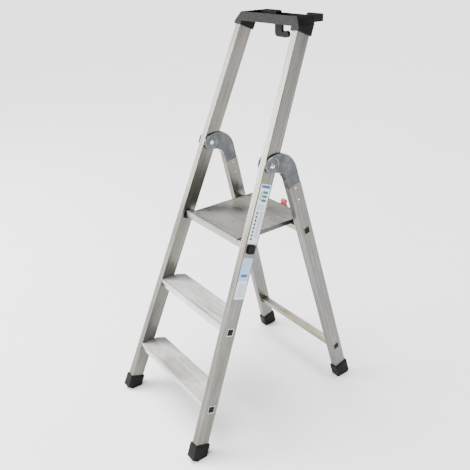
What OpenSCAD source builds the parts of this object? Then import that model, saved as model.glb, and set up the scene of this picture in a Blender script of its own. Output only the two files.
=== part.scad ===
// Folding platform step ladder: two leaning stiles with treads, a hinged rear frame,
// a tilting platform with a locking lever, and a tool tray with a bucket hook on top.
// Millimetres. +Z up, +Y to the back, +X to the climber's right.
// The origin is on the floor, at the middle of the ladder's footprint.

/* [Front frame] */
// Height of the lower tread above the floor
first_step = 195; // [185:1:205]
// Rise from one tread to the next, and to the platform
step_rise = 250; // [245:1:255]
// Lean of the front stiles from upright, in degrees
stile_lean = 21.55; // [21:0.05:22]
// Inward lean of the front stiles, in degrees
stile_toe = 3.74; // [3.6:0.02:3.9]
// Stile centre line from the middle of the ladder, at the floor
stile_foot_x = 225.2; // [223:0.1:228]
// Depth of a stile, front to back
stile_depth = 50; // [49:0.5:51]
// Width of a stile, across the ladder
stile_width = 25; // [24.5:0.1:25.5]
// Wall of the stile and leg tubes
tube_wall = 1.5; // [1.2:0.1:2]
// Rounding of the tube corners
tube_round = 1.6; // [1:0.1:2]

/* [Rear frame] */
// Height of the hinge above the floor
hinge_z = 923; // [918:1:928]
// Lean of the rear legs from upright, in degrees
leg_lean = 15.38; // [15:0.02:15.8]
// Inward lean of the rear legs, in degrees
leg_toe = 3.57; // [3.5:0.01:3.65]
// Hinge axis to the front face of a rear leg
leg_setback = 43.25; // [43:0.25:45]
// Side of the square cross tubes
cross_tube = 23; // [22:0.5:25]
// Distance from the hinge down the leg to the upper cross tube
upper_tube_drop = 284.2; // [283:0.1:286]
// Distance from the hinge down the leg to the lower cross tube
lower_tube_drop = 825.6; // [810:1:840]

/* [Hinge castings] */
// Radius of the hinge discs
disc_r = 27; // [26:0.5:28]
// Radius of the casting's outer curve
arm_r = 83; // [81:1:85]
// Radius of the hollow between disc and leg
crook_r = 54; // [50:1:58]
// Distance from the hinge down to the casting's lower rim
sleeve_drop = 108; // [104:1:112]
// Gap between a stile and each cheek of the fork
fork_gap = 2.3; // [2.2:0.1:2.5]
// Thickness of a fork cheek
cheek_t = 3.5; // [3:0.1:3.7]
// Length of the tongue inside the leg
tongue_len = 70; // [60:1:80]
// Radius of the hinge bolts and platform bolts
bolt_r = 4; // [3.5:0.1:4.2]
// Running clearance of the moving bores, on the radius
running = 0.06; // [0.03:0.01:0.09]

/* [Treads] */
// Depth of a tread
tread_depth = 88; // [86:1:90]
// Thickness of the tread plate
tread_t = 2.3; // [2:0.1:3]
// Height of the grip ribs
rib_h = 0.9; // [0.6:0.1:1.2]
// Width of a grip rib
rib_w = 2.2; // [1.6:0.1:2.6]
// Spacing of the grip ribs
rib_pitch = 4.4; // [4:0.1:5]
// Height of the tread's front lip
nose_h = 15; // [13:0.5:17]
// Height of the tread's rear lip
tail_h = 11; // [9:0.5:12]
// Side of the square tube under a tread
step_tube = 22; // [20:0.5:23]
// Drop from the tread's top to the middle of its tube
step_tube_drop = 25; // [24:0.5:26]

/* [Platform] */
// Half the width of the platform
deck_half_w = 136; // [130:0.5:136.5]
// Distance from the platform's pivot forward to its nose
deck_front = 8.5; // [8:0.5:10]
// Distance from the platform's pivot back to its rear edge
deck_back = 282.5; // [280:0.5:284]
// Height of the platform's top above its pivot
deck_rise = 18.5; // [18:0.5:20]
// Height of the side rails
rail_h = 10.5; // [9:0.25:10.75]

/* [Tray] */
// Distance along the stile from the floor to the lower end of the tray's sockets
socket_at = 1384; // [1380:1:1388]
// Height of the tray's rim above the floor
rim_z = 1331.5; // [1330:0.5:1333]
// Height of the tray's underside above the floor
tray_z = 1310; // [1309:0.5:1311]
// Half the width of the tray
tray_half_w = 131.5; // [130:0.5:133]
// Distance from the front of the ladder's feet to the back of the tray
tray_back = 631; // [626:1:634]
// Wall of the tray
tray_wall = 3; // [2.5:0.1:3.5]

/* [Feet] */
// Thickness of a shoe around its tube
shoe_t = 4; // [3:0.1:4.5]
// Height of a front shoe along its stile
front_shoe_h = 55; // [50:1:60]
// Height of a rear shoe along its leg
rear_shoe_h = 57; // [52:1:62]
// Clear space under the end of a tube, inside its shoe
sole_t = 4; // [3:0.5:6]

/* [Hidden] */
$fn = 48;
eps = 0.02;
mid_y = 373.06;
stile_up = cos(stile_lean) * cos(stile_toe);
stile_foot_y = stile_depth / 2 / cos(stile_lean);
stile_in = tan(stile_toe) / cos(stile_lean);
hinge_x = stile_foot_x - hinge_z * stile_in;
hinge_y = stile_foot_y + hinge_z * tan(stile_lean);
hinge_at = hinge_z / stile_up;
fold = stile_lean + leg_lean;
leg_mid = leg_setback + stile_depth / 2;
leg_back = leg_setback + stile_depth;
cast_back = leg_back - 2.6;
leg_floor = (hinge_z + leg_mid * sin(leg_lean)) / (cos(leg_lean) * cos(leg_toe));
leg_end = leg_floor - stile_depth / 2 * tan(leg_lean) - sole_t - 2;
stile_end = stile_depth / 2 * tan(stile_lean) + sole_t + 2;
stile_top = socket_at + 12;

deck_z = first_step + 2 * step_rise;
pivot_z = deck_z - deck_rise;
pivot_y = stile_foot_y + pivot_z * tan(stile_lean);
pivot_x = stile_foot_x - pivot_z * stile_in;
pivot_at = pivot_z / stile_up;
deck_y0 = pivot_y - deck_front;
deck_y1 = pivot_y + deck_back;
plate_t = 1.7;
deck_rib_h = 0.8;
deck_rib_pitch = 6;
deck_rib_w = 3.4;
beam_d = 24;
beam_h = 24.5;
beam_wall = 2;
beam_half = pivot_x - stile_width / 2 - 5.6;
plate_z = deck_z - deck_rib_h - plate_t;
rail_t = 2;
rail_front_h = 14.5;
bush_len = 20;

arc_c = [cast_back - arm_r, -sqrt(pow(arm_r - disc_r, 2) - pow(cast_back - arm_r, 2))];
crook_c = [leg_setback - crook_r, -sqrt(pow(disc_r + crook_r, 2) - pow(leg_setback - crook_r, 2))];
slot_half = stile_width / 2 + fork_gap;
cheek_out = slot_half + cheek_t;
boss_out = cheek_out + 1.1;
bead = 3.2;
bead_h = 0.8;
arm_half = stile_width / 2 - 0.3;
arm_angle = 40;
rivet_drops = [sleeve_drop + 9, sleeve_drop + 52];

tube_y = hinge_y + leg_mid * cos(leg_lean) + upper_tube_drop * cos(leg_toe) * sin(leg_lean);
tube_z = hinge_z + leg_mid * sin(leg_lean) - upper_tube_drop * cos(leg_toe) * cos(leg_lean);
saddle_x = 92;
saddle_w = 22;

latch_x = 18;
latch_y = deck_y1 + 7;
latch_z = deck_z - 7.5;
latch_w = 20;
latch_pin_r = 2.5;
finger_r = 51;
finger_t = 6;
finger_from = 241;
finger_to = 282;

tray_end_w = 150.4;
skirt_z = 1305.5;
tray_corner = 6;
tray_front = -(shoe_t + 0.6) / cos(stile_lean);
socket_half_x = stile_width / 2 + shoe_t;
socket_half_y = stile_depth / 2 + shoe_t;
hook_y = 574;

mill = [0.72, 0.71, 0.69];
bright = [0.80, 0.80, 0.80];
cast = [0.44, 0.47, 0.50];
steel = [0.62, 0.63, 0.65];
black = [0.08, 0.08, 0.09];
dark = [0.20, 0.21, 0.20];
red = [0.80, 0.10, 0.12];
paper = [0.85, 0.90, 0.92];

// ---- frames -------------------------------------------------------------------------

// Right stile: origin on its centre line at floor level, Z along the stile
module stile_frame() {
    translate([stile_foot_x, stile_foot_y - mid_y, 0])
        rotate([-stile_lean, 0, 0]) rotate([0, -stile_toe, 0]) children();
}

// Right rear leg: origin on the hinge axis, Z along the leg
module leg_frame() {
    translate([hinge_x, hinge_y - mid_y, hinge_z])
        rotate([leg_lean, 0, 0]) rotate([0, -leg_toe, 0]) children();
}

module left_hand() {
    mirror([1, 0, 0]) children();
}

module both_sides() {
    children();
    mirror([1, 0, 0]) children();
}

// A section drawn in the side view (Y, Z) and run along X
module along_x(len) {
    rotate([90, 0, 90]) linear_extrude(height = len, center = true) children();
}

// A round bar along X between two stations
module bar_x(y, z, x0, x1, r) {
    translate([x0, y - mid_y, z]) rotate([0, 90, 0]) cylinder(r = r, h = x1 - x0);
}

// Everything beyond a plane parallel to the right stile's side face
module beyond_stile(x) {
    stile_frame() translate([x, -400, -100]) cube([220, 800, 1700]);
}

// Everything beyond a plane parallel to the right leg's side face
module beyond_leg(x) {
    leg_frame() translate([x, -300, -1100]) cube([220, 700, 1200]);
}

module rounded_rect(w, d, r) {
    square([w - 2 * r, d], center = true);
    square([w, d - 2 * r], center = true);
    for (x = [-1, 1])
        for (y = [-1, 1])
            translate([x * (w / 2 - r), y * (d / 2 - r)]) circle(r = r);
}

module square_ring(outer, inner) {
    difference() {
        square(outer, center = true);
        square(inner, center = true);
    }
}

module stile_section() {
    difference() {
        rounded_rect(stile_width, stile_depth, tube_round);
        square([stile_width - 2 * tube_wall, stile_depth - 2 * tube_wall], center = true);
        for (x = [-6, 0, 6]) translate([x - 0.5, -stile_depth / 2 - 1]) square([1, 1.4]);
    }
}

// ---- front frame --------------------------------------------------------------------

module step_tube_run(top, size, len) {
    zc = top - step_tube_drop;
    translate([0, stile_foot_y + zc * tan(stile_lean) - mid_y, zc])
        rotate([-stile_lean, 0, 0]) cube([len, size, size], center = true);
}

module tray_screw_holes() {
    both_sides() stile_frame() translate([0, socket_half_y, socket_at + 6])
        rotate([90, 0, 0]) cylinder(r = 2.05, h = 20, center = true);
}

module front_stile() {
    difference() {
        stile_frame() translate([0, 0, stile_end])
            linear_extrude(height = stile_top - stile_end) stile_section();
        for (top = [first_step, first_step + step_rise])
            step_tube_run(top, step_tube + 0.2, 600);
        bar_x(hinge_y, hinge_z, 100, 220, bolt_r + 0.15);
        bar_x(pivot_y, pivot_z, 100, 240, bolt_r + 0.15);
        tray_screw_holes();
    }
}

module tread_section() {
    rib_count = floor((tread_depth - 6) / rib_pitch);
    translate([0, -tread_t - rib_h]) square([tread_depth, tread_t]);
    for (i = [0 : rib_count])
        translate([2.9 + i * rib_pitch, -rib_h - eps]) square([rib_w, rib_h + eps]);
    translate([0, -nose_h]) square([2.2, nose_h]);
    translate([tread_depth - 2, -tail_h]) square([2, tail_h]);
    translate([tread_depth * 0.66, -8]) square([1.8, 6]);
}

module step(top) {
    nose_y = top * tan(stile_lean);
    zc = top - step_tube_drop;
    tube_at = stile_foot_y + zc * tan(stile_lean) - nose_y;
    x_end = stile_foot_x - top * stile_in - stile_width / 2;
    y_end = nose_y + tread_depth - mid_y;
    difference() {
        union() {
            difference() {
                translate([0, nose_y - mid_y, top]) along_x(520) {
                    tread_section();
                    for (w = [-9, 7]) translate([tube_at + w, -step_tube_drop])
                        square([2, step_tube_drop - rib_h - 1]);
                }
                both_sides() {
                    beyond_stile(-stile_width / 2 - 0.05);
                    translate([x_end, y_end, top - 60]) linear_extrude(height = 80)
                        polygon([[4, -32.4], [-24, 5.4], [30, 5.4], [30, -32.4]]);
                }
            }
            step_tube_run(top, step_tube, 520);
            both_sides() stile_frame() translate([stile_width / 2, 0, zc / stile_up])
                rotate([0, 90, 0]) linear_extrude(height = 1) square(26, center = true);
        }
        step_tube_run(top, step_tube - 4, 540);
        both_sides() beyond_stile(stile_width / 2 + 1);
    }
}

module step_end_plugs() {
    for (top = [first_step, first_step + step_rise]) both_sides() stile_frame()
        translate([stile_width / 2, 0, (top - step_tube_drop) / stile_up]) {
            translate([1, -10.5, -10.5]) cube([0.9, 21, 21]);
            translate([-9, -8, -8]) cube([10 + eps, 16, 16]);
        }
}

module pivot_caps() {
    both_sides() stile_frame() translate([stile_width / 2, 0, pivot_at])
        rotate([0, 90, 0]) difference() {
            union() {
                linear_extrude(height = 4.6) rounded_rect(30, 30, 7);
                linear_extrude(height = 5.4) rounded_rect(27, 27, 6);
            }
            translate([0, 0, -1]) cylinder(r = 9, h = 5.4);
        }
}

module pivot_flanges() {
    both_sides() difference() {
        stile_frame() translate([-stile_width / 2 - 2.4, 0, pivot_at])
            rotate([0, 90, 0]) linear_extrude(height = 2.4) rounded_rect(31, 31, 5);
        bar_x(pivot_y, pivot_z, 100, 240, bolt_r + 0.15);
    }
}

module pivot_bolts() {
    both_sides() {
        bar_x(pivot_y, pivot_z, beam_half - bush_len, pivot_x + 13.6, bolt_r);
        bar_x(pivot_y, pivot_z, pivot_x + 13.6 - eps, pivot_x + 16.4, 7.5);
    }
}

module shoe_shell(height, below) {
    difference() {
        translate([-stile_width / 2 - shoe_t, -stile_depth / 2 - shoe_t, -below])
            cube([stile_width + 2 * shoe_t, stile_depth + 2 * shoe_t, height + below]);
        translate([-socket_half_x - 1, -socket_half_y - 1, height - 7])
            cube([1.8, 2 * socket_half_y + 2, 3]);
        translate([socket_half_x - 0.8, -socket_half_y - 1, height - 7])
            cube([1.8, 2 * socket_half_y + 2, 3]);
    }
}

module front_shoe() {
    difference() {
        stile_frame() shoe_shell(front_shoe_h, 30);
        stile_frame() translate([0, 0, stile_end - 0.3])
            linear_extrude(height = 200) rounded_rect(stile_width, stile_depth, tube_round);
        translate([0, -mid_y - 100, -100]) cube([400, 400, 100]);
        translate([0, 2 - mid_y, 16]) rotate([-40, 0, 0])
            translate([0, -60, -60]) cube([400, 100, 60]);
        for (y = [31, 41]) translate([0, y - mid_y, -1]) cube([400, 3, 3]);
    }
}

// Side view of the tray, inset by the wall and cut off below the given height
module tray_side(inset, low) {
    lean = tan(stile_lean);
    front = tray_front + inset / cos(stile_lean);
    polygon([[front + low * lean, low], [front + (rim_z + 20) * lean, rim_z + 20],
             [tray_back - inset, rim_z + 20], [tray_back - inset, low]]);
}

// Front view of the tray: over each stile it swells out to the socket
module tray_front_view() {
    polygon([[-tray_end_w, skirt_z], [-tray_half_w, rim_z],
             [tray_half_w, rim_z], [tray_end_w, skirt_z]]);
}

// Plan of the tray: wide over the sockets, with rounded corners at the back
module tray_plan() {
    translate([-200, 400]) square([400, 190]);
    translate([-tray_half_w, 400]) square([2 * tray_half_w, tray_back - tray_corner - 400]);
    translate([-tray_half_w + tray_corner, 400])
        square([2 * tray_half_w - 2 * tray_corner, tray_back - 400]);
    for (x = [-1, 1])
        translate([x * (tray_half_w - tray_corner), tray_back - tray_corner])
            circle(r = tray_corner);
}

// The solid tray, its ends cut back behind the swellings over the stiles
module tray_body() {
    difference() {
        intersection() {
            translate([0, -mid_y, 0]) along_x(400) tray_side(0, skirt_z);
            rotate([90, 0, 0]) linear_extrude(height = 900, center = true) tray_front_view();
            translate([0, -mid_y, 1250]) linear_extrude(height = 150) tray_plan();
        }
        both_sides() intersection() {
            stile_frame() translate([-60, socket_half_y + 0.5, 1250]) cube([200, 200, 300]);
            translate([tray_half_w, 0, 1250]) cube([100, 400, 150]);
        }
    }
}

module tray_block(x0, x1, y0, y1, z0, z1) {
    translate([x0, y0 - mid_y, z0]) cube([x1 - x0, y1 - y0, z1 - z0]);
}

module tool_tray() {
    skirt_y = tray_front + skirt_z * tan(stile_lean) + tray_wall + 3;
    cup_y = tray_back - tray_wall - 31;
    difference() {
        union() {
            tray_body();
            both_sides() intersection() {
                stile_frame() translate([-socket_half_x, -socket_half_y, socket_at])
                    cube([2 * socket_half_x, 2 * socket_half_y, 80]);
                translate([0, -400, 1200]) cube([300, 900, skirt_z + 0.4 - 1200]);
            }
        }
        difference() {
            intersection() {
                translate([0, -mid_y, 0]) along_x(2 * (tray_half_w - tray_wall))
                    tray_side(tray_wall, tray_z + tray_wall);
                tray_block(-200, 200, 400, 700, 1300, 1340);
            }
            tray_block(-200, -44, cup_y - 3, cup_y, 1300, 1350);
            tray_block(-98, -95, cup_y - 1, tray_back, 1300, 1350);
            tray_block(-47, -44, cup_y - 1, tray_back, 1300, 1350);
        }
        tray_block(-115, 115, skirt_y, tray_back + 1, skirt_z - 1, tray_z);
        tray_block(-160, 160, 581, tray_back + 1, skirt_z - 1, tray_z);
        both_sides() stile_frame() translate([0, 0, 1300])
            linear_extrude(height = stile_top - 1300)
                rounded_rect(stile_width, stile_depth, tube_round);
        translate([0, tray_back - mid_y, rim_z]) rotate([90, 0, 0])
            linear_extrude(height = 30, center = true)
                polygon([[-64, 2], [-57, -7], [57, -7], [64, 2]]);
        tray_screw_holes();
    }
}

module tray_screws() {
    both_sides() stile_frame() translate([0, socket_half_y, socket_at + 6])
        rotate([-90, 0, 0]) {
            cylinder(r = 4, h = 1.6);
            translate([0, 0, -shoe_t - tube_wall]) cylinder(r = 2, h = shoe_t + tube_wall + eps);
        }
}

module bucket_hook() {
    translate([0, hook_y - mid_y, tray_z]) rotate([90, 0, 0])
        linear_extrude(height = 10, center = true) difference() {
            union() {
                translate([-21, -36]) square([32, 36]);
                translate([-7, -36]) circle(r = 14);
                translate([-7, -50]) square([39, 19]);
                translate([32, -40]) circle(r = 10);
            }
            translate([18, -30.5]) circle(r = 4.5);
        }
    translate([-26, hook_y - 10 - mid_y, tray_z - 3]) cube([42, 20, 3]);
}

module hook_screws() {
    for (x = [-18, 8])
        for (y = [-7.5, 7.5])
            translate([x, hook_y + y - mid_y, tray_z - 4.2]) cylinder(r = 1.8, h = 1.2);
}

// A low domed head, flat side down, axis along Z
module dome_head(r, h) {
    ball = (r * r + h * h) / (2 * h);
    rotate_extrude() intersection() {
        translate([0, h - ball]) circle(r = ball);
        square([r, h]);
    }
}

module hinge_bolts() {
    both_sides() {
        bar_x(hinge_y, hinge_z, hinge_x - boss_out - 2.8, hinge_x + boss_out + 0.2, bolt_r);
        translate([hinge_x + boss_out + 0.15, hinge_y - mid_y, hinge_z]) rotate([0, 90, 0])
            dome_head(8.5, 5);
    }
}

module hinge_nuts() {
    both_sides() difference() {
        translate([hinge_x - boss_out - 2.75, hinge_y - mid_y, hinge_z]) rotate([0, 90, 0])
            cylinder(r = 7.5, h = 2.6, $fn = 6);
        bar_x(hinge_y, hinge_z, 100, 220, bolt_r);
    }
}

module hinge_washers() {
    both_sides() difference() {
        stile_frame() translate([0, 0, hinge_at]) rotate([0, 90, 0]) {
            translate([0, 0, stile_width / 2]) cylinder(r = 14, h = 1.4);
            translate([0, 0, -stile_width / 2 - 1.4]) cylinder(r = 14, h = 1.4);
        }
        bar_x(hinge_y, hinge_z, 100, 220, bolt_r + 0.15);
    }
}

module stile_label(low, high) {
    stile_frame() translate([stile_width / 2, -20, low / stile_up])
        cube([0.3, 40, (high - low) / stile_up]);
}

// ---- rear frame ---------------------------------------------------------------------

// Side view of a casting: disc, curved arm and the square end that meets the leg
module casting_outline() {
    difference() {
        union() {
            circle(r = disc_r);
            intersection() {
                translate(arc_c) circle(r = arm_r);
                polygon([[0, 0], -2.2 * arc_c, [130, 130], [130, arc_c[1]], [0, arc_c[1]]]);
            }
            translate([0, -sleeve_drop]) square([cast_back, sleeve_drop + arc_c[1]]);
        }
        translate(crook_c) circle(r = crook_r);
        translate([-10, -sleeve_drop - 10])
            square([10 + leg_setback, sleeve_drop + 10 + crook_c[1]]);
    }
}

// The raised edge that follows the outer curve and closes round the lower rim
module casting_edge() {
    difference() {
        casting_outline();
        translate(arc_c) circle(r = arm_r - bead);
        translate([-200, -sleeve_drop + bead + 1])
            square([200 + cast_back - bead, sleeve_drop + arc_c[1] - bead - 1]);
        translate([-100, -100]) square([100, 200]);
    }
}

// Thins the arm from the fork's width down to the leg's
module arm_taper(extra) {
    for (side = [0, 1]) mirror([side, 0, 0]) rotate([-arm_angle, 0, 0])
        linear_extrude(height = 500, center = true)
            polygon([[cheek_out + extra + 0.4, 27], [arm_half + extra, 82],
                     [arm_half + extra, 260], [60, 260], [60, 27]]);
}

module casting_blank() {
    difference() {
        along_x(2 * cheek_out) casting_outline();
        arm_taper(0);
    }
    difference() {
        along_x(2 * (cheek_out + bead_h)) casting_edge();
        arm_taper(bead_h);
    }
    along_x(2 * (cheek_out + 0.6)) circle(r = disc_r - 2.5);
    translate([-stile_width / 2 + tube_wall + 0.1, leg_setback + tube_wall + 0.1, 0])
        translate([0, 0, -sleeve_drop - tongue_len])
            cube([stile_width - 2 * tube_wall - 0.2, stile_depth - 2 * tube_wall - 0.2,
                  tongue_len + 1]);
}

// The space the stile sweeps inside the fork, from open to folded
module fork_slot() {
    for (a = [0, -fold]) rotate([a, 0, 0])
        translate([-slot_half, -200, -200])
            cube([2 * slot_half, 200 + stile_depth / 2 + 0.6, 400]);
}

module hinge_casting() {
    difference() {
        union() {
            difference() {
                leg_frame() casting_blank();
                leg_frame() fork_slot();
            }
            difference() {
                bar_x(hinge_y, hinge_z, hinge_x - boss_out, hinge_x + boss_out, 11);
                leg_frame() translate([-slot_half, -50, -50])
                    cube([2 * slot_half, 100, 100]);
            }
        }
        bar_x(hinge_y, hinge_z, 100, 220, bolt_r + running);
        leg_frame() for (d = rivet_drops)
            translate([0, leg_mid, -d]) rotate([0, 90, 0])
                cylinder(r = 2.3, h = 60, center = true);
    }
}

module casting_rivets() {
    both_sides() leg_frame() for (d = rivet_drops)
        translate([0, leg_mid, -d]) rotate([0, 90, 0]) {
            cylinder(r = 2.25, h = stile_width, center = true);
            for (side = [0, 1]) mirror([0, 0, side]) translate([0, 0, stile_width / 2])
                intersection() {
                    translate([0, 0, -4.2]) sphere(r = 5.9);
                    cylinder(r = 4.1, h = 2);
                }
        }
}

module cross_tube_run(drop, size, len) {
    translate([0, hinge_y - mid_y, hinge_z]) rotate([leg_lean, 0, 0])
        translate([0, leg_mid, -drop * cos(leg_toe)])
            cube([len, size, size], center = true);
}

module rear_leg() {
    difference() {
        leg_frame() translate([0, leg_mid, -leg_end])
            linear_extrude(height = leg_end - sleeve_drop - 0.05) stile_section();
        for (drop = [upper_tube_drop, lower_tube_drop])
            cross_tube_run(drop, cross_tube + 0.2, 600);
        leg_frame() for (d = rivet_drops) translate([0, leg_mid, -d]) rotate([0, 90, 0])
            cylinder(r = 2.3, h = 60, center = true);
    }
}

module cross_tube_piece(drop) {
    difference() {
        cross_tube_run(drop, cross_tube, 520);
        cross_tube_run(drop, cross_tube - 4, 540);
        both_sides() beyond_leg(stile_width / 2 + 1);
    }
}

module cross_tube_plugs() {
    for (drop = [upper_tube_drop, lower_tube_drop]) both_sides() leg_frame()
        translate([stile_width / 2, leg_mid, -drop]) {
            translate([1, -10.2, -10.2]) cube([0.9, 20.4, 20.4]);
            translate([-9, -8.3, -8.3]) cube([10 + eps, 16.6, 16.6]);
        }
}

module rear_shoe() {
    difference() {
        leg_frame() translate([0, leg_mid, -leg_floor]) shoe_shell(rear_shoe_h, 30);
        leg_frame() translate([0, leg_mid, -leg_end - 0.3])
            linear_extrude(height = 200) rounded_rect(stile_width, stile_depth, tube_round);
        translate([0, 200, -100]) cube([400, 400, 100]);
        translate([0, 746 - mid_y, 9]) rotate([40, 0, 0])
            translate([0, -60, -60]) cube([400, 100, 60]);
        for (y = [700, 710]) translate([0, y - mid_y, -1]) cube([400, 3, 3]);
    }
}

// ---- platform -----------------------------------------------------------------------

module deck_section() {
    span = deck_back + deck_front;
    ribs = floor((span - 8) / deck_rib_pitch);
    translate([deck_y0 - 1.5, plate_z]) square([span + 1.5, plate_t]);
    for (i = [0 : ribs]) translate([deck_y0 + 3 + i * deck_rib_pitch, plate_z + plate_t - eps])
        square([deck_rib_w, deck_rib_h + eps]);
    translate([deck_y0 - 1.5, deck_z - rail_h])
        square([1.5, rail_h - deck_rib_h]);
    translate([deck_y1 - 1.8, deck_z - rail_h]) square([1.8, rail_h - deck_rib_h]);
    for (y = [deck_y0 + 90, deck_y0 + 160]) translate([y, plate_z - 7]) square([2, 7 + eps]);
}

module platform_deck() {
    translate([0, -mid_y, 0]) along_x(2 * (deck_half_w - rail_t)) deck_section();
}

module platform_front_beam() {
    translate([0, -mid_y, 0]) along_x(2 * beam_half) difference() {
        translate([deck_y0, plate_z - beam_h]) square([beam_d, beam_h]);
        translate([deck_y0 + beam_wall, plate_z - beam_h + beam_wall])
            square([beam_d - 2 * beam_wall, beam_h - 2 * beam_wall]);
    }
}

module platform_rail() {
    x_in = deck_half_w - rail_t;
    difference() {
        union() {
            translate([x_in, deck_y0 + beam_d + 0.5 - mid_y, deck_z - rail_front_h])
                cube([rail_t, deck_back + deck_front - beam_d - 0.5, rail_front_h]);
            translate([x_in - 9, deck_y0 + beam_d + 0.5 - mid_y, deck_z - rail_front_h])
                cube([9 + rail_t, tube_y - 20 - deck_y0 - beam_d - 0.5, 1.8]);
        }
        translate([x_in - 1, tube_y - 12 - mid_y, deck_z - rail_front_h - 1])
            cube([rail_t + 2, 100, 1 + rail_front_h - rail_h]);
    }
    translate([x_in, deck_y0 - mid_y, plate_z]) cube([rail_t, beam_d + 0.5, deck_z - plate_z]);
}

module platform_bushes() {
    depth = beam_d - 2 * beam_wall - 0.1;
    height = beam_h - 2 * beam_wall - 0.1;
    both_sides() difference() {
        translate([beam_half - bush_len, deck_y0 + beam_wall + 0.05 - mid_y,
                   plate_z - beam_h + beam_wall + 0.05]) cube([bush_len, depth, height]);
        bar_x(pivot_y, pivot_z, 60, 240, bolt_r + running);
    }
}

// Side view of a saddle: a pad whose underside lies on the cross tube's top face
module saddle_section() {
    difference() {
        translate([tube_y - 20, tube_z]) square([40, plate_z - tube_z]);
        translate([tube_y, tube_z]) rotate(leg_lean)
            translate([-80, -80]) square([160, 80 + cross_tube / 2 + 0.02]);
    }
}

module platform_saddles() {
    both_sides() translate([saddle_x, -mid_y, 0]) along_x(saddle_w) saddle_section();
}

module platform_rivets() {
    both_sides() for (y = [deck_y0 + 50, deck_y0 + 125, deck_y0 + 200])
        translate([deck_half_w - 7, y - mid_y, deck_z - rail_front_h - 1.4])
            cylinder(r = 2.6, h = 1.4);
}

module latch_bracket() {
    y_in = deck_y1;
    difference() {
        union() {
            translate([latch_x - 17, y_in - mid_y, latch_z - 6]) cube([34, 2, 14]);
            for (x = [-17, 14]) translate([latch_x + x, 0, 0]) {
                translate([0, y_in - mid_y, latch_z - 6]) cube([3, 7, 12]);
                translate([0, latch_y - mid_y, latch_z]) rotate([0, 90, 0])
                    cylinder(r = 6, h = 3);
            }
        }
        bar_x(latch_y, latch_z, -60, 100, latch_pin_r + 0.02);
    }
}

module latch_pin() {
    bar_x(latch_y, latch_z, latch_x - 18.5, latch_x + 18.5, latch_pin_r);
    bar_x(latch_y, latch_z, latch_x + 17, latch_x + 18.5, 4);
    bar_x(latch_y, latch_z, latch_x - 18.5, latch_x - 17, 4);
}

// Side view of the lever, drawn about its pin
module latch_outline() {
    circle(r = 5);
    translate([-4, 0]) square([8, 14]);
    translate([-6, 9.5]) square([12, 10]);
    translate([0, 19.5]) circle(r = 6);
    rotate(finger_to) square([finger_r + finger_t, finger_t]);
    intersection() {
        difference() {
            circle(r = finger_r + finger_t);
            circle(r = finger_r);
        }
        polygon([[0, 0], 90 * [cos(finger_from), sin(finger_from)],
                 90 * [cos(265), sin(265)], 90 * [cos(finger_to), sin(finger_to)]]);
    }
}

module latch_lever() {
    translate([latch_x, latch_y - mid_y, latch_z]) difference() {
        along_x(latch_w) latch_outline();
        rotate([0, 90, 0]) cylinder(r = latch_pin_r + running, h = 60, center = true);
    }
}

// ---- nodes --------------------------------------------------------------------------

color(mill) front_stile();  // front_stile_right
color(mill) left_hand() front_stile();  // front_stile_left
color(bright) step(first_step);  // step_lower
color(bright) step(first_step + step_rise);  // step_upper
color(black) step_end_plugs();
color(black) pivot_caps();
color(black) pivot_flanges();
color(steel) pivot_bolts();
color(black) front_shoe();  // front_shoe_right
color(black) left_hand() front_shoe();  // front_shoe_left
color(dark) tool_tray();
color(steel) tray_screws();
color(black) bucket_hook();
color(steel) hook_screws();
color(steel) hinge_bolts();
color(steel) hinge_nuts();
color(dark) hinge_washers();
color(paper) stile_label(692.5, 868);  // label_upper
color(paper) stile_label(524, 650);  // label_lower
color(cast) hinge_casting();  // hinge_casting_right
color(cast) left_hand() hinge_casting();  // hinge_casting_left
color(steel) casting_rivets();
color(mill) rear_leg();  // rear_leg_right
color(mill) left_hand() rear_leg();  // rear_leg_left
color(bright) cross_tube_piece(upper_tube_drop);  // upper_cross_tube
color(bright) cross_tube_piece(lower_tube_drop);  // lower_cross_tube
color(black) cross_tube_plugs();
color(black) rear_shoe();  // rear_shoe_right
color(black) left_hand() rear_shoe();  // rear_shoe_left
color(bright) platform_deck();
color(mill) platform_front_beam();
color(mill) platform_rail();  // platform_rail_right
color(mill) left_hand() platform_rail();  // platform_rail_left
color(black) platform_bushes();
color(black) platform_saddles();
color(steel) platform_rivets();
color(mill) latch_bracket();
color(steel) latch_pin();
color(red) latch_lever();
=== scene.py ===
"""Looks for a folding platform step ladder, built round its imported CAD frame.

Metres, in the row frame: +Z up, +Y to the rear legs, +X to the climber's right.
"""

import math

import bpy
import numpy as np
from mathutils import Euler, Matrix, Vector
from mathutils.bvhtree import BVHTree


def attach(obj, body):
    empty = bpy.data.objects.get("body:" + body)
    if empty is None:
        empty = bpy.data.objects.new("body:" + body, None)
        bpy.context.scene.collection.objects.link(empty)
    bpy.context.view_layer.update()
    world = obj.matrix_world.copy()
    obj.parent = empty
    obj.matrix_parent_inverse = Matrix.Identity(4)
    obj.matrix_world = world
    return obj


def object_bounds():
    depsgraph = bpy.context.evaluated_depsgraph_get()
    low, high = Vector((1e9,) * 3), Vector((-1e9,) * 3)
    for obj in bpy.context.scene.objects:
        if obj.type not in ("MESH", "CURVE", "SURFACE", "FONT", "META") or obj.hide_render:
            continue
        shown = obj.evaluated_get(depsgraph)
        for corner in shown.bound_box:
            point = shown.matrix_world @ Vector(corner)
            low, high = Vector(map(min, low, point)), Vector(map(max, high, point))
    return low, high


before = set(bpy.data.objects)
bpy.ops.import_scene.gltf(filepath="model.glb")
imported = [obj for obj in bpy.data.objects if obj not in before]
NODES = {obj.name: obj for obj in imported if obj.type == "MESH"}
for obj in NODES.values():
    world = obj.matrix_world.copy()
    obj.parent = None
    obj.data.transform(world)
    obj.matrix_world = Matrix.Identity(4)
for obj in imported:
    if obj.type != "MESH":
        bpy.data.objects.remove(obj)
cad_low, cad_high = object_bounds()

# ---- shader graphs -----------------------------------------------------------------


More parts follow.
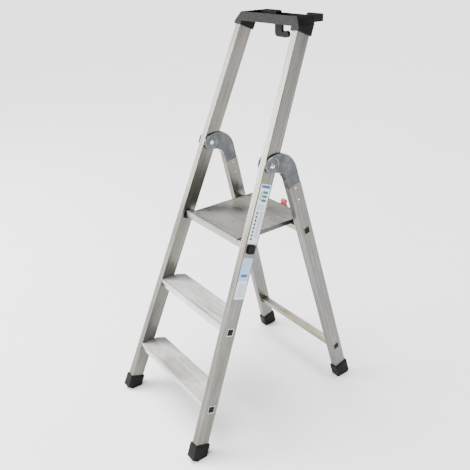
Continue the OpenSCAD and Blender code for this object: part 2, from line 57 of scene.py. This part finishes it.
class Graph:
    """A short way to write a material's node tree."""

    def __init__(self, name):
        self.material = bpy.data.materials.new(name)
        self.material.use_nodes = True
        self.tree = self.material.node_tree
        self.shader = self.tree.nodes["Principled BSDF"]

    def node(self, kind, inputs=None, **settings):
        made = self.tree.nodes.new(kind)
        for key, value in settings.items():
            setattr(made, key, value)
        for key, value in (inputs or {}).items():
            self.put(made.inputs[key], value)
        return made

    def put(self, socket, value):
        if isinstance(value, bpy.types.NodeSocket):
            self.tree.links.new(value, socket)
        else:
            socket.default_value = value

    def set(self, **values):
        for key, value in values.items():
            self.put(self.shader.inputs[key.replace("_", " ")], value)

    def object_space(self, turn=(0, 0, 0), scale=(1, 1, 1)):
        """Object coordinates, turned by an Euler angle and then scaled."""
        here = self.node("ShaderNodeTexCoord").outputs["Object"]
        turned = self.node(
            "ShaderNodeMapping", {"Vector": here, "Rotation": turn}, vector_type="POINT"
        )
        return self.node(
            "ShaderNodeMapping", {"Vector": turned.outputs[0], "Scale": scale}
        ).outputs[0]

    def noise(self, where, scale, detail=4.0, rough=0.55):
        return self.node(
            "ShaderNodeTexNoise",
            {"Vector": where, "Scale": scale, "Detail": detail, "Roughness": rough},
        ).outputs["Fac"]

    def remap(self, value, low, high, to_low=0.0, to_high=1.0):
        return self.node(
            "ShaderNodeMapRange",
            {"Value": value, "From Min": low, "From Max": high, "To Min": to_low,
             "To Max": to_high},
        ).outputs["Result"]

    def math(self, operation, a, b=0.0):
        made = self.node("ShaderNodeMath", operation=operation)
        self.put(made.inputs[0], a)
        self.put(made.inputs[1], b)
        return made.outputs[0]

    def mix(self, share, a, b):
        made = self.node("ShaderNodeMix", data_type="RGBA")
        self.put(made.inputs[0], share)
        self.put(made.inputs[6], a)
        self.put(made.inputs[7], b)
        return made.outputs[2]

    def bump(self, height, strength, distance, under=None):
        inputs = {"Height": height, "Strength": strength, "Distance": distance}
        if under is not None:
            inputs["Normal"] = under
        return self.node("ShaderNodeBump", inputs).outputs[0]


def rgb(red, green, blue):
    return (red, green, blue, 1.0)


def grey(value, warmth=0.0):
    red, green, blue = 1 + 0.7 * warmth, 1 + 0.1 * warmth, 1 - 1.3 * warmth
    return rgb(value * red, value * green, value * blue)


def grain_turn(direction):
    """The Euler turn that brings a direction onto Z."""
    to_z = Vector(direction).rotation_difference(Vector((0, 0, 1)))
    return tuple(to_z.to_euler("XYZ"))


def long_axis(node):
    """The direction that a CAD node runs along."""
    points = np.array([v.co for v in NODES[node].data.vertices], float)
    points -= points.mean(0)
    axis = np.linalg.svd(points, full_matrices=False)[2][0]
    return Vector(axis) if axis[2] > 0 else -Vector(axis)


# ---- materials ---------------------------------------------------------------------


def mill_aluminium(name, direction, tone, warmth=0.02, streak=0.35, draw_lines=0.0):
    """Extruded aluminium: lines along the profile, cloudy oxide and fine scratches.

    The tone is the base grey. Streak is the share of the broad pale lines, and draw_lines
    that of the thin dark ones.
    """
    g = Graph(name)
    turn = grain_turn(direction)
    cloud = g.noise(g.object_space(turn, (1, 1, 0.4)), 16, 3)
    fine_cloud = g.noise(g.object_space(turn, (1, 1, 0.3)), 70, 3)
    lines = g.noise(g.object_space(turn, (900, 900, 5)), 1, 3)
    wide_lines = g.noise(g.object_space(turn, (170, 170, 1.5)), 1, 2)
    dark_lines = g.noise(g.object_space(turn, (240, 240, 0.7)), 1, 2)
    scuff = g.noise(g.object_space(turn, (60, 200, 14)), 1, 6, 0.7)

    tint = g.noise(g.object_space(turn, (1, 1, 0.5)), 6, 2)
    cool = g.mix(g.remap(cloud, 0.38, 0.62), grey(tone * 0.70, warmth * 0.5),
                 grey(tone * 1.12, warmth * 0.3))
    warm = g.mix(g.remap(cloud, 0.38, 0.62), grey(tone * 0.70, warmth * 2),
                 grey(tone * 1.12, warmth))
    clouded = g.mix(g.remap(tint, 0.42, 0.58), cool, warm)
    spotted = g.mix(g.remap(fine_cloud, 0.44, 0.70, 0.0, 0.55), clouded,
                    grey(tone * 0.64, warmth * 1.8))
    drawn = g.mix(g.remap(wide_lines, 0.35, 0.7, 0.0, streak), spotted, grey(tone * 1.22))
    lined = g.mix(g.remap(dark_lines, 0.50, 0.59, 0.0, draw_lines), drawn,
                  grey(tone * 0.50, warmth * 1.5))
    marked = g.mix(g.remap(scuff, 0.66, 0.80, 0.0, 0.5), lined, grey(tone * 1.35))
    dull = g.math("ADD", g.remap(cloud, 0.3, 0.7, 0.26, 0.40),
                  g.remap(lines, 0.3, 0.7, -0.05, 0.07))
    relief = g.bump(lines, 0.28, 0.0004)
    relief = g.bump(wide_lines, 0.30, 0.001, relief)
    relief = g.bump(cloud, 0.05, 0.01, relief)
    g.set(Base_Color=marked, Metallic=0.92, Roughness=dull, Normal=relief)
    return g.material


def cast_alloy(name="cast_alloy", tone=1.0):
    """Tumbled die casting: darker, satin, with a pebbled skin. A high tone paints a highlight, as
    on the relief beads.
    """
    g = Graph(name)
    here = g.object_space()
    cloud = g.noise(here, 28, 4)
    pebble = g.noise(here, 1500, 2)
    dirt = g.noise(here, 120, 5, 0.65)
    base = g.mix(g.remap(cloud, 0.35, 0.68), rgb(0.085 * tone, 0.09 * tone, 0.098 * tone),
                 rgb(0.17 * tone, 0.178 * tone, 0.186 * tone))
    worn = g.mix(g.remap(dirt, 0.55, 0.78, 0, 0.5), base,
                 rgb(0.09 * tone, 0.094 * tone, 0.10 * tone))
    relief = g.bump(pebble, 0.18, 0.0005)
    relief = g.bump(cloud, 0.06, 0.004, relief)
    g.set(Base_Color=worn, Metallic=0.85, Roughness=g.remap(dirt, 0.3, 0.7, 0.18, 0.32),
          Normal=relief)
    return g.material


def plated_steel():
    """Zinc-plated steel with a faint spangle."""
    g = Graph("plated_steel")
    here = g.object_space()
    spangle = g.noise(here, 420, 3)
    base = g.mix(g.remap(spangle, 0.35, 0.7), rgb(0.55, 0.55, 0.56), rgb(0.78, 0.78, 0.77))
    g.set(Base_Color=base, Metallic=1.0, Roughness=g.remap(spangle, 0.3, 0.7, 0.16, 0.30),
          Normal=g.bump(spangle, 0.1, 0.0006))
    return g.material


def moulded(name, low, high, rough, grain=1700, strength=0.2, dust=0.25, shine=0.10):
    """Moulded plastic or rubber: spark-eroded grain, flow shading and settled dust."""
    g = Graph(name)
    here = g.object_space()
    flow = g.noise(here, 22, 3)
    skin = g.noise(here, grain, 2)
    smear = g.noise(here, 95, 5, 0.62)
    up = g.node("ShaderNodeSeparateXYZ",
                {"Vector": g.node("ShaderNodeNewGeometry").outputs["Normal"]}).outputs["Z"]
    base = g.mix(g.remap(flow, 0.35, 0.68), low, high)
    settled = g.math("MULTIPLY", g.remap(up, 0.1, 0.95, 0.15, 1.0),
                     g.remap(smear, 0.48, 0.74, 0.0, dust))
    dusty = g.mix(settled, base, rgb(0.34, 0.32, 0.29))
    relief = g.bump(skin, strength, 0.0005)
    relief = g.bump(flow, 0.08, 0.003, relief)
    g.set(Base_Color=dusty, Roughness=g.remap(smear, 0.3, 0.7, rough - 0.06, rough + 0.10),
          Specular_IOR_Level=shine, Normal=relief)
    return g.material


def glossy_red():
    """The lever's red plastic, with a moulding haze and finger-worn patches."""
    g = Graph("red_plastic")
    here = g.object_space()
    haze = g.noise(here, 90, 4)
    base = g.mix(g.remap(haze, 0.35, 0.7), rgb(0.52, 0.012, 0.02), rgb(0.70, 0.03, 0.035))
    g.set(Base_Color=base, Roughness=g.remap(haze, 0.3, 0.7, 0.24, 0.42),
          Normal=g.bump(g.noise(here, 1400, 2), 0.10, 0.0004))
    return g.material


def label_film(name, node, blocks):
    """Printed film: pale stock with plain blocks of colour along it, and no lettering.

    Each block is (start, end, colour, rows, left, right): shares of the length and of the
    width, cut into that many lines if rows is above 0.
    """
    g = Graph(name)
    turn = grain_turn(long_axis(node))
    spin = Euler(turn, "XYZ").to_matrix()
    points = [spin @ v.co for v in NODES[node].data.vertices]
    z_low, z_high = min(p.z for p in points), max(p.z for p in points)
    y_low, y_high = min(p.y for p in points), max(p.y for p in points)
    split = g.node("ShaderNodeSeparateXYZ", {"Vector": g.object_space(turn)})
    along = g.remap(split.outputs["Z"], z_high, z_low)
    across = g.remap(split.outputs["Y"], y_low, y_high)

    def band(value, start, end):
        inside = g.math("GREATER_THAN", value, start)
        return g.math("MULTIPLY", inside, g.math("LESS_THAN", value, end))

    here = g.object_space()
    mottle = g.noise(here, 60, 4)
    colour = g.mix(g.remap(mottle, 0.3, 0.7), rgb(0.76, 0.86, 0.92), rgb(0.86, 0.92, 0.96))
    for start, end, tint, rows, left, right in blocks:
        mask = g.math("MULTIPLY", band(along, start, end), band(across, left, right))
        if rows:
            step = (end - start) / rows
            place = g.math("FRACT", g.math("DIVIDE", g.math("SUBTRACT", along, start), step))
            mask = g.math("MULTIPLY", mask, band(place, 0.18, 0.82))
        colour = g.mix(mask, colour, tint)
    scuff = g.noise(here, 260, 5, 0.7)
    worn = g.mix(g.remap(scuff, 0.62, 0.8, 0, 0.5), colour, rgb(0.62, 0.62, 0.60))
    g.set(Base_Color=worn, Roughness=g.remap(mottle, 0.3, 0.7, 0.28, 0.42),
          Normal=g.bump(mottle, 0.05, 0.002))
    return g.material


# ---- pieces ------------------------------------------------------------------------


def finish_node(node, material, bevel=0.0, angle=35.0, segments=2):
    """Gives a CAD node its material, and rounds its edges without touching its mesh."""
    piece = NODES[node]
    piece.data.materials.clear()
    piece.data.materials.append(material)
    if bevel:
        weld = piece.modifiers.new("weld", "WELD")
        weld.merge_threshold = 1e-6
        edge = piece.modifiers.new("edge", "BEVEL")
        edge.width = bevel
        edge.segments = segments
        edge.limit_method = "ANGLE"
        edge.angle_limit = math.radians(angle)
        edge.harden_normals = True
        edge.use_clamp_overlap = True
    return piece


def dress_frames():
    for side in ("right", "left"):
        for name in ("front_stile_", "rear_leg_"):
            node = name + side
            metal = mill_aluminium(node + "_metal", long_axis(node), tone=0.185, warmth=0.09,
                                   streak=0.8, draw_lines=0.5)
            finish_node(node, metal)
    across = (1, 0, 0)
    tread = mill_aluminium("tread_metal", across, tone=0.56, warmth=0.03, streak=0.6)
    deck = mill_aluminium("deck_metal", across, tone=0.31, warmth=0.05, streak=0.6)
    bars = mill_aluminium("bar_metal", across, tone=0.25, warmth=0.24)
    beam = mill_aluminium("beam_metal", across, tone=0.36)
    fore_aft = mill_aluminium("rail_metal", (0, 1, 0), tone=0.11, streak=0.2)
    for node in ("step_lower", "step_upper"):
        finish_node(node, tread)
    finish_node("platform_deck", deck)
    for node in ("upper_cross_tube", "lower_cross_tube"):
        finish_node(node, bars, 0.0006)
    finish_node("platform_front_beam", beam, 0.0006)
    for node in ("platform_rail_right", "platform_rail_left", "latch_bracket"):
        finish_node(node, fore_aft, 0.0004)


def dress_fittings():
    cast = cast_alloy(tone=0.7)
    steel = plated_steel()
    plastic = moulded("black_plastic", rgb(0.003, 0.003, 0.0035), rgb(0.007, 0.007, 0.0075), 0.42,
                      dust=0.03)
    rubber = moulded("shoe_rubber", rgb(0.004, 0.004, 0.0045), rgb(0.009, 0.009, 0.0095), 0.55,
                     900, 0.3, 0.04)
    tray = moulded("tray_plastic", rgb(0.004, 0.0045, 0.0042), rgb(0.008, 0.0088, 0.0083), 0.38,
                   1300, 0.25, 0.03, 0.10)
    nylon = moulded("nylon", rgb(0.10, 0.10, 0.10), rgb(0.14, 0.14, 0.135), 0.45)
    for side in ("right", "left"):
        finish_node("hinge_casting_" + side, cast, 0.0012, 30, 3)
        finish_node("front_shoe_" + side, rubber, 0.0038, 30, 4)
        finish_node("rear_shoe_" + side, rubber, 0.0038, 30, 4)
    finish_node("tool_tray", tray, 0.0014, 30, 3)
    finish_node("hinge_washers", nylon, 0.0003)
    for node in ("step_end_plugs", "cross_tube_plugs", "pivot_caps", "pivot_flanges",
                 "bucket_hook", "platform_saddles", "platform_bushes"):
        finish_node(node, plastic, 0.0005, 30)
    for node in ("pivot_bolts", "tray_screws", "hook_screws", "hinge_bolts", "hinge_nuts",
                 "casting_rivets", "platform_rivets", "latch_pin"):
        finish_node(node, steel)
    finish_node("latch_lever", glossy_red(), 0.0012, 30, 3)


# The right leg's frame: where its casting turns, in metres, and its lean and toe, in degrees.
HINGE_AT = Vector((0.16033, 0.01833, 0.923))
LEG_LEAN, LEG_TOE = 15.38, 3.57


def casting_lines():
    """The casting's raised lines in the leg's side view, in metres: lists of (y, z)."""
    centre_y, centre_z, radius = 0.00765, -0.0555, 0.0812
    low, back, front = -0.1055, 0.0888, 0.046
    disc_radius = 0.0235
    edge = [(centre_y + radius * math.cos(a), centre_z + radius * math.sin(a))
            for a in np.radians(np.linspace(96, 0, 41))]
    edge += [(back, z) for z in np.linspace(centre_z, low, 13)[1:]]
    edge += [(y, low) for y in np.linspace(back, front, 11)[1:]]
    disc = [(disc_radius * math.cos(a), disc_radius * math.sin(a))
            for a in np.linspace(0, 2 * math.pi, 49)]
    return edge, disc


def casting_relief(side, material):
    """Round beads along a casting's outer curve, lower rim and disc, on both its faces."""
    casting = NODES["hinge_casting_" + side]
    mesh = casting.data
    tree = BVHTree.FromPolygons([v.co for v in mesh.vertices],
                                [tuple(f.vertices) for f in mesh.polygons])
    hand = 1 if side == "right" else -1
    leg = (Matrix.Diagonal((hand, 1, 1, 1)) @ Matrix.Translation(HINGE_AT)
           @ Matrix.Rotation(math.radians(LEG_LEAN), 4, "X")
           @ Matrix.Rotation(math.radians(-LEG_TOE), 4, "Y"))
    curve = bpy.data.curves.new("casting_relief", "CURVE")
    curve.dimensions = "3D"
    curve.bevel_depth = 0.0011
    curve.bevel_resolution = 3
    curve.use_fill_caps = True
    for face in (1, -1):
        aim = leg.to_3x3() @ Vector((-face, 0, 0))
        for line in casting_lines():
            hits = [tree.ray_cast(leg @ Vector((face * 0.06, y, z)), aim, 0.055)[0]
                    for y, z in line]
            hits = [hit for hit in hits if hit is not None]
            spline = curve.splines.new("POLY")
            spline.points.add(len(hits) - 1)
            for point, hit in zip(spline.points, hits):
                point.co = (*hit, 1.0)
    source = bpy.data.objects.new("casting_relief", curve)
    bpy.context.scene.collection.objects.link(source)
    relief = bpy.data.meshes.new_from_object(source)
    bpy.data.objects.remove(source)
    piece = bpy.data.objects.new("casting_relief_" + side, relief)
    bpy.context.scene.collection.objects.link(piece)
    for polygon in relief.polygons:
        polygon.use_smooth = True
    relief.materials.clear()
    relief.materials.append(material)
    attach(piece, "rear_frame")


def dress_castings():
    # The beads get a much lighter copy of the casting alloy: a painted highlight along the raised
    # lines, not worn metal.
    painted_highlight = cast_alloy("painted_highlight_alloy", 2.2)
    for side in ("right", "left"):
        casting_relief(side, painted_highlight)


def dress_labels():
    blue, green = rgb(0.02, 0.10, 0.34), rgb(0.01, 0.16, 0.09)
    slate, lilac = rgb(0.03, 0.05, 0.08), rgb(0.50, 0.42, 0.66)
    sky, pale = rgb(0.38, 0.62, 0.88), rgb(0.40, 0.58, 0.76)
    finish_node("label_upper", label_film("label_upper_film", "label_upper", (
        (0.015, 0.065, blue, 0, 0.08, 0.94),
        (0.10, 0.30, green, 3, 0.34, 0.84),
        (0.13, 0.27, green, 6, 0.14, 0.26),
        (0.33, 0.42, pale, 5, 0.14, 0.80),
        (0.45, 0.95, slate, 8, 0.16, 0.36),
        (0.45, 0.90, lilac, 16, 0.52, 0.86),
    )))
    finish_node("label_lower", label_film("label_lower_film", "label_lower", (
        (0.0, 0.56, sky, 0, 0.0, 1.0),
        (0.06, 0.34, pale, 10, 0.14, 0.84),
        (0.39, 0.46, blue, 0, 0.16, 0.80),
        (0.62, 0.95, pale, 9, 0.14, 0.84),
    )))


# ---- stage -------------------------------------------------------------------------

CAMERA_AT = Vector((1.4125, -1.03996, 1.4978))
CAMERA_AZIMUTH, CAMERA_ELEVATION, CAMERA_ROLL = 53.55, 26.33, -1.556
FOCAL_SHARE = 569.1 / 470


def floor():
    size = 60.0
    mesh = bpy.data.meshes.new("floor")
    mesh.from_pydata([(-size, -size, 0), (size, -size, 0), (size, size, 0), (-size, size, 0)],
                     [], [(0, 1, 2, 3)])
    piece = bpy.data.objects.new("floor", mesh)
    bpy.context.scene.collection.objects.link(piece)
    g = Graph("studio_floor")
    here = g.object_space()
    g.set(Base_Color=g.mix(g.remap(g.noise(here, 3, 2), 0.3, 0.7), grey(0.86), grey(0.88)),
          Roughness=0.9)
    mesh.materials.append(g.material)


def soft_light(name, place, target, size, power, colour=(1, 1, 1)):
    data = bpy.data.lights.new(name, "AREA")
    data.shape = "RECTANGLE"
    data.size, data.size_y = size
    data.energy = power
    data.color = colour
    lamp = bpy.data.objects.new(name, data)
    lamp.location = place
    lamp.rotation_euler = (Vector(target) - Vector(place)).to_track_quat("-Z", "Y").to_euler()
    bpy.context.scene.collection.objects.link(lamp)


def broad_sun(name, turn, strength, spread):
    """An even, very soft light from far away. The turn and the spread are in degrees."""
    data = bpy.data.lights.new(name, "SUN")
    data.energy = strength
    data.angle = math.radians(spread)
    lamp = bpy.data.objects.new(name, data)
    lamp.rotation_euler = [math.radians(angle) for angle in turn]
    bpy.context.scene.collection.objects.link(lamp)


def lights():
    world = bpy.data.worlds.new("studio")
    world.use_nodes = True
    background = world.node_tree.nodes["Background"]
    background.inputs["Color"].default_value = (0.95, 0.97, 1.0, 1)
    background.inputs["Strength"].default_value = 0.50
    bpy.context.scene.world = world
    middle = (cad_low + cad_high) / 2
    soft_light("key", (-2.6, -3.0, 2.2), middle, (2.4, 2.4), 380, (1.0, 0.99, 0.97))
    broad_sun("overhead", (8, -10, 0), 8.0, 50)


def camera():
    data = bpy.data.cameras.new("camera")
    data.sensor_width = 36.0
    data.lens = data.sensor_width * FOCAL_SHARE
    data.clip_end = 200
    azimuth, elevation, roll = (math.radians(v) for v in
                                (CAMERA_AZIMUTH, CAMERA_ELEVATION, CAMERA_ROLL))
    back = Vector((math.sin(azimuth) * math.cos(elevation),
                   -math.cos(azimuth) * math.cos(elevation), math.sin(elevation)))
    right = (-back).cross(Vector((0, 0, 1))).normalized()
    up = back.cross(right)
    right_rolled = right * math.cos(roll) + up * math.sin(roll)
    up_rolled = up * math.cos(roll) - right * math.sin(roll)
    turn = Matrix((right_rolled, up_rolled, back)).transposed()
    made = bpy.data.objects.new("camera", data)
    made.matrix_world = Matrix.Translation(CAMERA_AT) @ turn.to_4x4()
    bpy.context.scene.collection.objects.link(made)
    bpy.context.scene.camera = made


dress_frames()
dress_fittings()
dress_labels()
dress_castings()
floor()
lights()
camera()
